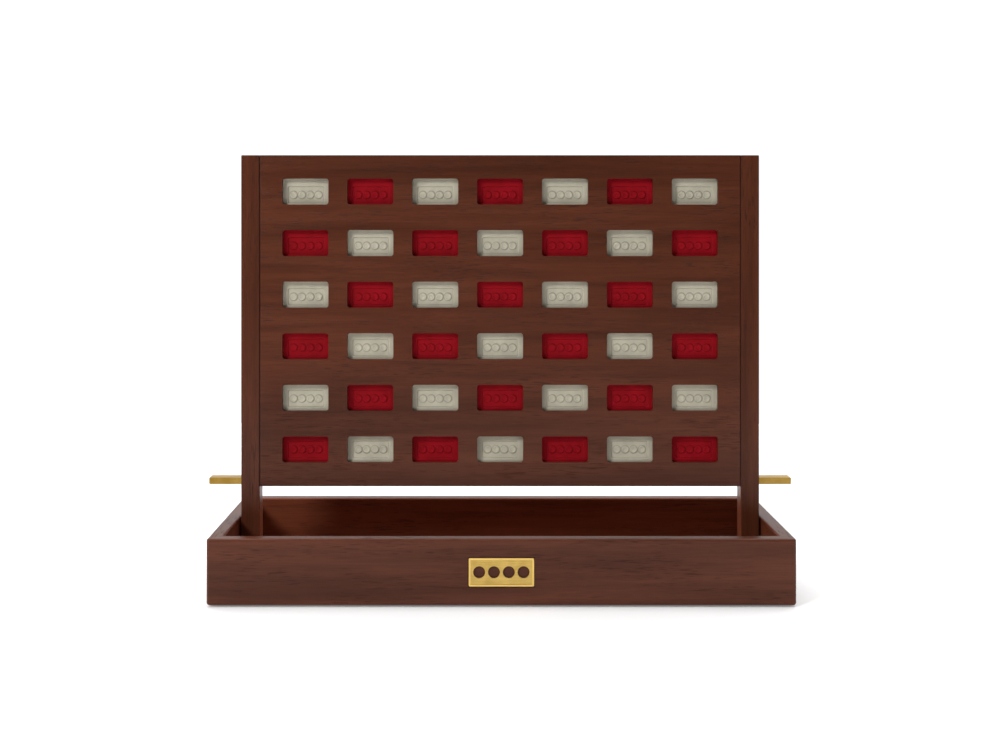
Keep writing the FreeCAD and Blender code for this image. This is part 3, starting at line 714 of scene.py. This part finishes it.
@dataclass
class TileSet:
    """Forty-two tiles in seven columns and six rows, cream and red by turns."""

    columns: int = 7
    rows: int = 6
    corner: float = 0.0012
    rim: float = 0.0005
    sunk: Span = (0.0234, 0.0110)
    sunk_deep: float = 0.0006
    sunk_soft: float = 0.00032
    dot_radius: float = 0.0024
    dot_pitch: float = 0.0054
    dot_count: int = 4
    dot_tall: float = 0.0005
    dot_soft: float = 0.00032
    ring_radius: float = 0.0013
    ring_deep: float = 0.00022
    wave: float = 0.00002
    step: float = 0.00030
    broad_step: float = 0.0012
    foot: float = 0.00030
    cream: MouldedTile = field(
        default_factory=lambda: MouldedTile("cast_cream", (0.47, 0.44, 0.345), (0.57, 0.53, 0.42))
    )
    red: MouldedTile = field(
        default_factory=lambda: MouldedTile("cast_red", (0.240, 0.0016, 0.0060), (0.31, 0.0026, 0.0095))
    )

    def lines(self, half: float, fine: float) -> np.ndarray:
        """Places of the grid lines across half a tile and its mirror: close together over the rim and the round
        corner, broad over the plain border, and close again over the sunk field.

        Args:
            half: Half the tile's size that way.
            fine: Half the sunk field's size that way, with a little to spare.

        Returns:
            The places, lowest first.
        """
        edge = half - np.array([0.0, 0.06, 0.16, 0.30, 0.46, 0.70, 1.0]) * self.corner
        inner = np.linspace(0.0, fine, 1 + int(np.ceil(fine / self.step)))
        plain = half - self.corner
        border = np.linspace(fine, plain, 1 + int(np.ceil((plain - fine) / self.broad_step)))
        places = np.unique(np.concatenate([edge, inner, border]).round(7))
        return np.concatenate([-places[::-1][:-1], places])

    def face(self, across: np.ndarray, up: np.ndarray, thick: float, seed: int) -> tuple[np.ndarray, ...]:
        """One face of a tile over a grid of places.

        The square grid is drawn onto a rectangle with round corners: inside each corner square of side r, the
        point (a, b) goes to (a sqrt(1 - b^2 / 2), b sqrt(1 - a^2 / 2)). The height is half the thickness, less
        a quarter round near the outline, less a smooth step into the sunk field, plus a smooth step up at each
        dot, less a shallow round hollow in the dot's top, plus slow waves. The groove is exp(-(d / foot)^2),
        with d the distance from the foot of the nearest step.

        Args:
            across: Grid lines across.
            up: Grid lines up.
            thick: The tile's thickness.
            seed: Chooses the waves.

        Returns:
            The places across, the places up, the heights and the grooves, each as a grid.
        """
        x, z = np.meshgrid(across, up, indexing="ij")
        half_x, half_z = across[-1], up[-1]
        r = self.corner
        a = np.clip((np.abs(x) - (half_x - r)) / r, 0.0, 1.0)
        b = np.clip((np.abs(z) - (half_z - r)) / r, 0.0, 1.0)
        both = (a > 0) & (b > 0)
        disc_a = a * np.sqrt(1.0 - b * b / 2.0)
        disc_b = b * np.sqrt(1.0 - a * a / 2.0)
        px = np.where(both, np.sign(x) * (half_x - r + r * disc_a), x)
        pz = np.where(both, np.sign(z) * (half_z - r + r * disc_b), z)
        inset = np.where(
            both,
            r * (1.0 - np.hypot(disc_a, disc_b)),
            np.minimum(half_x - np.abs(x), half_z - np.abs(z)),
        )
        drop = self.rim - np.sqrt(np.maximum(0.0, self.rim**2 - np.maximum(0.0, self.rim - inset) ** 2))
        height = thick / 2.0 - drop
        field_x, field_z = self.sunk[0] / 2.0, self.sunk[1] / 2.0
        away_x, away_z = np.abs(px) - (field_x - r), np.abs(pz) - (field_z - r)
        outside = np.hypot(np.maximum(away_x, 0.0), np.maximum(away_z, 0.0))
        far = outside + np.minimum(np.maximum(away_x, away_z), 0.0) - r
        height -= self.sunk_deep * smooth_step(-far, -self.sunk_soft / 2.0, self.sunk_soft / 2.0)
        groove = np.exp(-(((far + self.sunk_soft / 2.0) / self.foot) ** 2))
        for number in range(self.dot_count):
            middle = (number - (self.dot_count - 1) / 2.0) * self.dot_pitch
            away = np.hypot(px - middle, pz)
            half_soft = self.dot_soft / 2.0
            height += self.dot_tall * smooth_step(self.dot_radius - away, -half_soft, half_soft)
            height -= self.ring_deep * smooth_step(self.ring_radius - away, -half_soft, half_soft)
            groove = np.maximum(groove, np.exp(-(((away - self.dot_radius - half_soft) / self.foot) ** 2)))
        chance = np.random.default_rng(seed)
        calm = smooth_step(inset, 0.0, 0.002)
        for _ in range(5):
            way = chance.uniform(-1.0, 1.0, 2)
            turns = chance.uniform(300.0, 900.0)
            phase = turns * (way[0] * px + way[1] * pz) + chance.uniform(0.0, 6.0)
            height += calm * self.wave * 0.45 * np.sin(phase)
        return px, pz, np.minimum(height, thick / 2.0), groove

    def tile(self, node: str, seed: int) -> bpy.types.Object:
        """One tile: a front face and a back face, joined all round their outlines by flat sides.

        Args:
            node: The name of the solid that the tile stands for.
            seed: Chooses the waves of its faces.

        Returns:
            The tile, in its place.
        """
        low, high = (np.array(corner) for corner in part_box(node))
        size, middle = high - low, (high + low) / 2.0
        spare = 2.0 * self.sunk_soft
        across = self.lines(size[0] / 2.0, self.sunk[0] / 2.0 + spare)
        up = self.lines(size[2] / 2.0, self.sunk[1] / 2.0 + spare)
        wide, tall = len(across), len(up)
        numbers = np.arange(wide * tall).reshape(wide, tall)
        faces, sheets, grooves = [], [], []
        for side, turn in ((-1.0, 0), (1.0, 1)):
            px, pz, height, groove = self.face(across, up, size[1], 2 * seed + turn)
            grooves.append(groove.ravel())
            sheets.append(np.stack([px, side * height, pz], axis=-1).reshape(-1, 3))
            square = np.stack([numbers[:-1, :-1], numbers[1:, :-1], numbers[1:, 1:], numbers[:-1, 1:]], axis=-1)
            square = square.reshape(-1, 4) + turn * numbers.size
            faces.append(square if side < 0 else square[:, ::-1])
        ring = np.concatenate([numbers[:-1, 0], numbers[-1, :-1], numbers[:0:-1, -1], numbers[0, :0:-1]])
        after = np.roll(ring, -1)
        faces.append(np.stack([ring, ring + numbers.size, after + numbers.size, after], axis=-1))
        piece = new_piece(f"cast_{node}", np.concatenate(sheets) + middle, np.concatenate(faces))
        # The groove marks where dirt and painted shade darken the tile.
        marks = piece.data.attributes.new("groove", "FLOAT", "POINT")
        marks.data.foreach_set("value", np.concatenate(grooves).astype(np.float32))
        return piece

    def build(self) -> None:
        """Builds every tile, gives it its colour and lets it ride on its own body."""
        cream, red = self.cream.build(), self.red.build()
        for column in range(1, self.columns + 1):
            for row in range(1, self.rows + 1):
                node = f"tile_c{column}_r{row}"
                pale = (column + row) % 2 == 0
                piece = self.tile(node, column * 10 + row)
                dress(piece, cream if pale else red)
                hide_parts(node)
                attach(piece, node)
            LOG.info("column %d of the tiles built", column)


def smooth_step(value: np.ndarray, low: float, high: float) -> np.ndarray:
    """From 0 at low to 1 at high, as t^2 (3 - 2 t)."""
    t = np.clip((value - low) / (high - low), 0.0, 1.0)
    return t * t * (3.0 - 2.0 * t)


@dataclass
class Studio:
    """The white floor, the soft lights, the pale surroundings and the camera."""

    floor_reach: float = 0.75
    key_power: float = 31.0
    fill_power: float = 0.6
    top_power: float = 39.0
    floor_colour: float = 0.82
    floor_glow: Span = (0.17, 0.5)
    glow_reach: Span = (0.15, 0.7)
    dim_front: float = 0.05
    bright_above: float = 0.45
    backdrop: float = 1.05
    target: Triple = (0.0, 0.0, 0.12)
    eye: Triple = (-0.011, -0.858, 0.2273)
    lens: float = 47.52
    shift: Span = (0.0169, -0.136)

    def build(self) -> None:
        """Lays the floor, hangs the lights and sets the camera up."""
        self.floor()
        self.lamp("key_left", (-1.40, -1.50, 1.40), 0.6, self.key_power)
        self.lamp("fill_right", (1.7, -1.3, 1.1), 1.4, self.fill_power)
        self.lamp("top_soft", (0.0, 0.5, 2.3), 2.2, self.top_power)
        self.surroundings()
        self.camera()
        bpy.context.scene.view_settings.view_transform = "Standard"
        LOG.info("studio set up")

    def floor(self) -> None:
        """A level round table top just under the pads. It glows as painted light, faintly near the middle,
        which lightens the shadow under the object, and more towards its edge.
        Its square grid is drawn onto a disc: (a, b) goes to (a sqrt(1 - b^2 / 2), b sqrt(1 - a^2 / 2)), times
        the reach."""
        lines = np.linspace(-1.0, 1.0, 65)
        a, b = np.meshgrid(lines, lines, indexing="ij")
        x, y = a * np.sqrt(1.0 - b * b / 2.0), b * np.sqrt(1.0 - a * a / 2.0)
        reach, under = self.floor_reach, np.full_like(x, -0.0001)
        points = np.stack([reach * x, reach * y, under], axis=-1).reshape(-1, 3)
        numbers = np.arange(x.size).reshape(x.shape)
        quads = np.stack([numbers[:-1, :-1], numbers[1:, :-1], numbers[1:, 1:], numbers[:-1, 1:]], axis=-1)
        sheet = new_piece("studio_floor", points, quads.reshape(-1, 4))
        material = bpy.data.materials.new("studio_white")
        material.use_nodes = True
        surface = material.node_tree.nodes["Principled BSDF"]
        surface.inputs["Base Color"].default_value = (*(self.floor_colour,) * 3, 1.0)
        surface.inputs["Roughness"].default_value = 0.9
        surface.inputs["Specular IOR Level"].default_value = 0.1
        graph = Graph(material.node_tree)
        # Painted light: the floor glows, faintly near the object to lighten its shadow, and more towards the
        # edge.
        coordinates = graph.add("TexCoord").outputs["Object"]
        away = graph.add("VectorMath", {0: coordinates}, operation="LENGTH").outputs["Value"]
        glow = graph.between(away, self.glow_reach, self.floor_glow)
        shown = graph.add("CombineColor", {0: glow, 1: glow, 2: glow}).outputs[0]
        graph.tree.links.new(shown, surface.inputs["Emission Color"])
        surface.inputs["Emission Strength"].default_value = 1.0
        dress(sheet, material)

    def lamp(self, name: str, place: Triple, across: float, power: float) -> None:
        """Hangs a square soft light that points at the middle of the object.

        Args:
            name: The light's name.
            place: Where it hangs.
            across: Its side.
            power: Its power in watts.
        """
        light = bpy.data.lights.new(name, "AREA")
        light.shape = "SQUARE"
        light.size = across
        light.energy = power
        lamp = bpy.data.objects.new(name, light)
        lamp.location = place
        lamp.rotation_euler = (Vector(self.target) - Vector(place)).to_track_quat("-Z", "Y").to_euler()
        bpy.context.scene.collection.objects.link(lamp)

    def surroundings(self) -> None:
        """Pale surroundings: bright behind and above, and dimmer in front, where the room is dark."""
        world = bpy.data.worlds.new("studio_surroundings")
        bpy.context.scene.world = world
        world.use_nodes = True
        graph = Graph(world.node_tree)
        background = world.node_tree.nodes["Background"]
        direction = graph.add("TexCoord").outputs["Generated"]
        parts = graph.add("SeparateXYZ", {0: direction}).outputs
        behind = graph.between(parts[1], (-0.55, 0.55), (self.dim_front, 1.0))
        above = graph.between(parts[2], (0.35, 1.0), (0.0, self.bright_above))
        strength = graph.sum_of((behind, 1.0), (above, 1.0))
        seen = graph.add("LightPath").outputs["Is Camera Ray"]
        shown = graph.add("Mix", {0: seen, 2: strength, 3: self.backdrop}).outputs[0]
        world.node_tree.links.new(shown, background.inputs["Strength"])
        background.inputs["Color"].default_value = (1.0, 1.0, 1.0, 1.0)

    def camera(self) -> None:
        """A level camera in front, with its view shifted so that the upright lines stay upright."""
        data = bpy.data.cameras.new("front_camera")
        data.lens = self.lens
        data.shift_x, data.shift_y = self.shift
        data.clip_start, data.clip_end = 0.01, 50.0
        camera = bpy.data.objects.new("front_camera", data)
        camera.location = self.eye
        camera.rotation_euler = (math.pi / 2, 0.0, 0.0)
        bpy.context.scene.collection.objects.link(camera)
        bpy.context.scene.camera = camera


def main() -> None:
    """Builds the sub-assemblies in order, then the studio."""
    logging.basicConfig(level=logging.INFO, format="%(name)s: %(message)s")
    Tray().build()
    StandingFrame().build()
    Fittings().build()
    TileSet().build()
    Studio().build()


if __name__ == "__main__":
    main()
